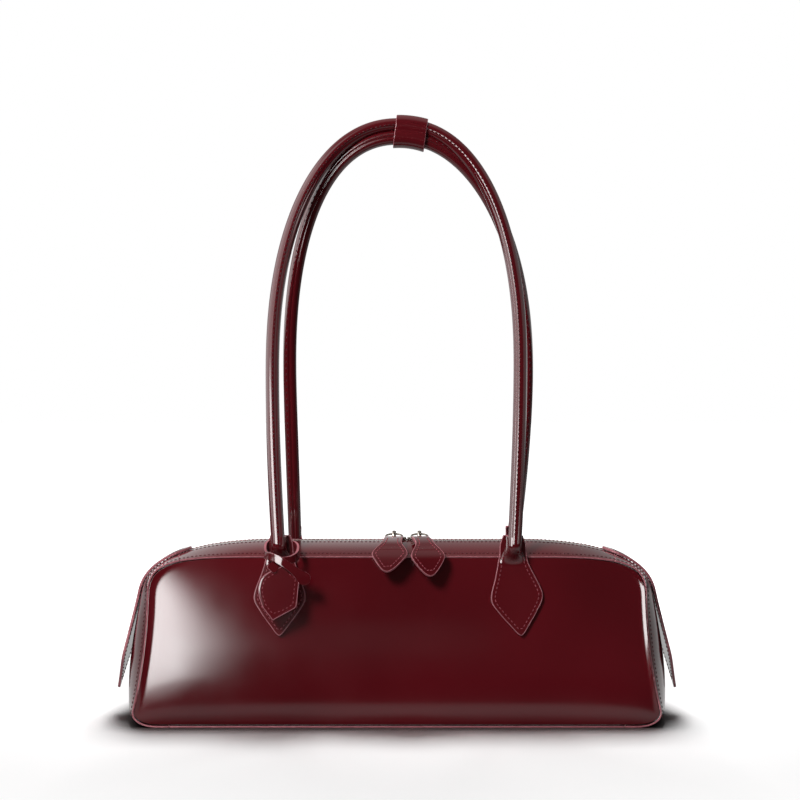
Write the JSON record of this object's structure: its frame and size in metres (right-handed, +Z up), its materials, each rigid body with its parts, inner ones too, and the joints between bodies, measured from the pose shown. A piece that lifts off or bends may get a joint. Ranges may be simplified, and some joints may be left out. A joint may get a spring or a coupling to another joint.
{
  "type": "zip-top shoulder bag",
  "caption": "Long, low zip-top shoulder bag in glossy burgundy leather with rolled handles, a keeper loop, zip pulls and a hang tag.",
  "frame": {"origin": "middle of the flat base, on the floor that the bag stands on", "axes": "+X along the zip to the right as the front is seen, +Y from the front towards the back, +Z up"},
  "size_m": [0.3574, 0.0929, 0.3806],
  "materials": {
    "burgundy_leather": "smooth glossy box calf, deep burgundy, with dusty pink painted edges and tonal stitching",
    "zip_metal": "dark polished nickel",
    "zip_tape": "dark wine woven tape",
    "fibreboard": "pressed fibre stiffener, matt",
    "lining_cloth": "dull fine cotton twill",
    "cotton_cord": "undyed cotton filler cord"
  },
  "bodies": {
    "body": {"front_panel": "burgundy_leather", "back_panel": "burgundy_leather", "base_panel": "burgundy_leather", "gusset_left": "burgundy_leather", "gusset_right": "burgundy_leather", "top_strip_front": "burgundy_leather", "top_strip_back": "burgundy_leather", "end_tab_left": "burgundy_leather", "end_tab_right": "burgundy_leather", "handle_neck_front_left": "burgundy_leather", "handle_neck_front_right": "burgundy_leather", "handle_neck_back_left": "burgundy_leather", "handle_neck_back_right": "burgundy_leather", "handle_tab_front_left": "burgundy_leather", "handle_tab_front_right": "burgundy_leather", "handle_tab_back_left": "burgundy_leather", "handle_tab_back_right": "burgundy_leather", "hang_tag_strap": "burgundy_leather", "zip_teeth_front": "zip_metal", "zip_teeth_back": "zip_metal", "zip_tape_front": "zip_tape", "zip_tape_back": "zip_tape", "front_stiffener": "fibreboard", "back_stiffener": "fibreboard", "base_board": "fibreboard", "lining": "lining_cloth", "slip_pocket": "lining_cloth"},
    "handles": {"handle_front": "burgundy_leather", "handle_back": "burgundy_leather", "handle_core_front": "cotton_cord", "handle_core_back": "cotton_cord"},
    "keeper": {"handle_keeper": "burgundy_leather"},
    "slider_left": {"zip_slider_left": "zip_metal"},
    "slider_right": {"zip_slider_right": "zip_metal"},
    "ring_left": {"pull_ring_left": "zip_metal"},
    "ring_right": {"pull_ring_right": "zip_metal"},
    "pull_left": {"zip_pull_left": "burgundy_leather"},
    "pull_right": {"zip_pull_right": "burgundy_leather"},
    "flap_left": {"end_flap_left": "burgundy_leather"},
    "flap_right": {"end_flap_right": "burgundy_leather"},
    "tag": {"hang_tag": "burgundy_leather"}
  },
  "joints": [
    {"name": "handles_sway", "type": "hinge", "parent": "body", "child": "handles", "pos_m": [0, 0, 0.14], "axis": [1, 0, 0], "range_deg": [-8, 8], "stiffness_Nm_per_rad": 0.6, "deforming": ["handle_neck_front_left", "handle_neck_front_right", "handle_neck_back_left", "handle_neck_back_right"]},
    {"name": "keeper_slide", "type": "hinge", "parent": "handles", "child": "keeper", "pos_m": [0.0012, 0, 0.3132], "axis": [0, 1, 0], "range_deg": [-16, 2]},
    {"name": "zip_slide_left", "type": "slide", "parent": "body", "child": "slider_left", "axis": [-1, 0, 0], "range_m": [0, 0.042]},
    {"name": "zip_slide_right", "type": "slide", "parent": "body", "child": "slider_right", "axis": [1, 0, 0], "range_m": [0, 0.034]},
    {"name": "ring_turn_left", "type": "hinge", "parent": "slider_left", "child": "ring_left", "pos_m": [-0.00185, 0, 0.1142], "axis": [-1, 0, 0], "range_deg": [0, 110]},
    {"name": "ring_turn_right", "type": "hinge", "parent": "slider_right", "child": "ring_right", "pos_m": [0.01425, 0, 0.1142], "axis": [-1, 0, 0], "range_deg": [0, 110]},
    {"name": "pull_turn_left", "type": "hinge", "parent": "ring_left", "child": "pull_left", "pos_m": [-0.00185, -0.01024, 0.11239], "axis": [-1, 0, 0], "range_deg": [0, 70]},
    {"name": "pull_turn_right", "type": "hinge", "parent": "ring_right", "child": "pull_right", "pos_m": [0.01425, -0.01024, 0.11239], "axis": [-1, 0, 0], "range_deg": [0, 70]},
    {"name": "flap_fold_left", "type": "hinge", "parent": "body", "child": "flap_left", "pos_m": [-0.16475, 0, 0.07729], "axis": [0, 1, 0], "range_deg": [0, 45], "stiffness_Nm_per_rad": 0.05},
    {"name": "flap_fold_right", "type": "hinge", "parent": "body", "child": "flap_right", "pos_m": [0.16475, 0, 0.07729], "axis": [0, -1, 0], "range_deg": [0, 45], "stiffness_Nm_per_rad": 0.05},
    {"name": "hang_tag_swing", "type": "hinge", "parent": "body", "child": "tag", "pos_m": [-0.06961, -0.04613, 0.09895], "axis": [0.0097, -0.9976, 0.0691], "range_deg": [-15, 15]}
  ]
}
